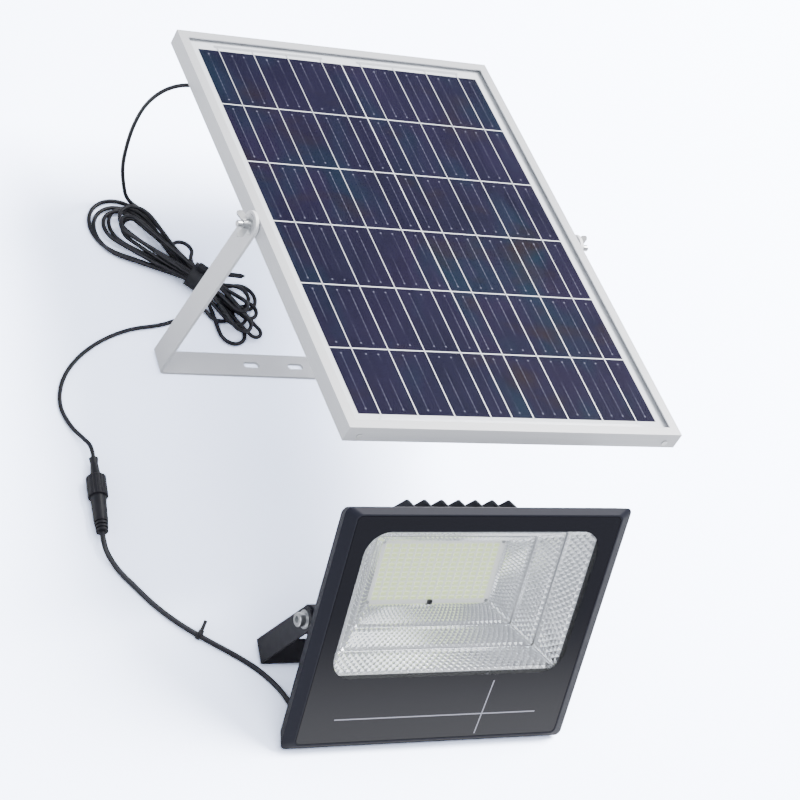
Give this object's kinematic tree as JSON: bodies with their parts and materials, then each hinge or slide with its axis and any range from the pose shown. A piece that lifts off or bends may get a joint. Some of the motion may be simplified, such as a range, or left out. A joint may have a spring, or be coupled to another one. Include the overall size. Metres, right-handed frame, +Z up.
{
  "type": "solar flood light",
  "caption": "Tilting framed solar panel on a U bracket, joined by a coiled cable and screw connector to a flood light on its own tilting bracket.",
  "frame": {"origin": "middle of the underside of the panel bracket's base strip", "axes": "+X along the base strip and the tilt axis, +Y away from the flood light, +Z up"},
  "size_m": [0.4842, 0.662, 0.2632],
  "materials": {
    "anodised_frame": "satin",
    "bracket_metal": "satin",
    "fastener_steel": "satin",
    "panel_glass": "glossy",
    "cell_blue": "glossy",
    "tinned_ribbon": "satin",
    "white_sheet": "matte",
    "black_plastic": "matte",
    "cast_housing": "satin",
    "lamp_glass": "glossy",
    "seal_rubber": "matte",
    "reflector_mirror": "mirror",
    "board_white": "satin",
    "led_phosphor": "satin",
    "cell_wrap": "glossy",
    "green_board": "satin",
    "dark_bracket": "satin",
    "cord_black": "satin",
    "brass": "satin"
  },
  "bodies": {
    "root": {"panel_bracket": "bracket_metal", "panel_pivot_bolts": "fastener_steel", "panel_washers": "fastener_steel", "lamp_bracket": "dark_bracket", "lamp_washers": "fastener_steel", "panel_lead": "cord_black", "cable_hank": "cord_black", "hank_tie": "black_plastic", "connector_lead": "cord_black", "connector_plug": "black_plastic", "plug_pins": "brass", "sealing_ring": "seal_rubber", "connector_socket": "black_plastic", "lamp_cable": "cord_black", "cable_tie": "black_plastic"},
    "solar_panel": {"frame_rail_left": "anodised_frame", "frame_rail_right": "anodised_frame", "frame_rail_far": "anodised_frame", "frame_rail_near": "anodised_frame", "corner_keys": "anodised_frame", "corner_screws": "fastener_steel", "panel_glass": "panel_glass", "solar_cells": "cell_blue", "cell_ribbons": "tinned_ribbon", "backsheet": "white_sheet", "junction_box": "black_plastic", "junction_box_lid": "black_plastic", "lid_screws": "fastener_steel", "terminal_block": "brass", "blocking_diode": "black_plastic", "panel_gland_body": "black_plastic", "panel_gland_nut": "black_plastic", "panel_gland_seal": "seal_rubber"},
    "floodlight": {"lamp_housing": "cast_housing", "front_glass": "lamp_glass", "glass_gasket": "seal_rubber", "reflector": "reflector_mirror", "led_board": "board_white", "led_chips": "led_phosphor", "infrared_receiver": "black_plastic", "led_board_screws": "fastener_steel", "battery_cells": "cell_wrap", "battery_cradle": "black_plastic", "control_board": "green_board", "control_board_parts": "black_plastic", "battery_cover": "cast_housing", "cover_gasket": "seal_rubber", "cover_screws": "fastener_steel", "lamp_gland_body": "black_plastic", "lamp_gland_nut": "black_plastic", "lamp_gland_seal": "seal_rubber"},
    "wing_nut_left": {"wing_nut_left": "fastener_steel"},
    "wing_nut_right": {"wing_nut_right": "fastener_steel"},
    "lamp_pivot_bolt_left": {"lamp_pivot_bolt_left": "fastener_steel"},
    "lamp_pivot_bolt_right": {"lamp_pivot_bolt_right": "fastener_steel"},
    "lock_ring": {"lock_ring": "black_plastic"}
  },
  "joints": [
    {"name": "panel_tilt", "type": "hinge", "parent": "root", "child": "solar_panel", "pos_m": [0, 0, 0.2175], "axis": [1, 0, 0], "range_deg": [-30, 10], "deforming": ["panel_lead"]},
    {"name": "lamp_tilt", "type": "hinge", "parent": "root", "child": "floodlight", "pos_m": [-0.016, -0.33264, 0.09333], "axis": [1, 0, 0], "range_deg": [-75, 20], "deforming": ["lamp_cable"]},
    {"name": "wing_nut_left_turn", "type": "hinge", "parent": "root", "child": "wing_nut_left", "pos_m": [-0.184, 0, 0.2175], "axis": [-1, 0, 0], "continuous": true},
    {"name": "wing_nut_right_turn", "type": "hinge", "parent": "root", "child": "wing_nut_right", "pos_m": [0.184, 0, 0.2175], "axis": [1, 0, 0], "continuous": true},
    {"name": "lamp_bolt_left_turn", "type": "hinge", "parent": "root", "child": "lamp_pivot_bolt_left", "pos_m": [-0.164, -0.33264, 0.09333], "axis": [-1, 0, 0], "continuous": true},
    {"name": "lamp_bolt_right_turn", "type": "hinge", "parent": "root", "child": "lamp_pivot_bolt_right", "pos_m": [0.132, -0.33264, 0.09333], "axis": [1, 0, 0], "continuous": true},
    {"name": "lock_ring_turn", "type": "hinge", "parent": "root", "child": "lock_ring", "pos_m": [-0.2745, -0.1155, 0.0094], "axis": [-0.1302, -0.9915, 0], "continuous": true}
  ]
}
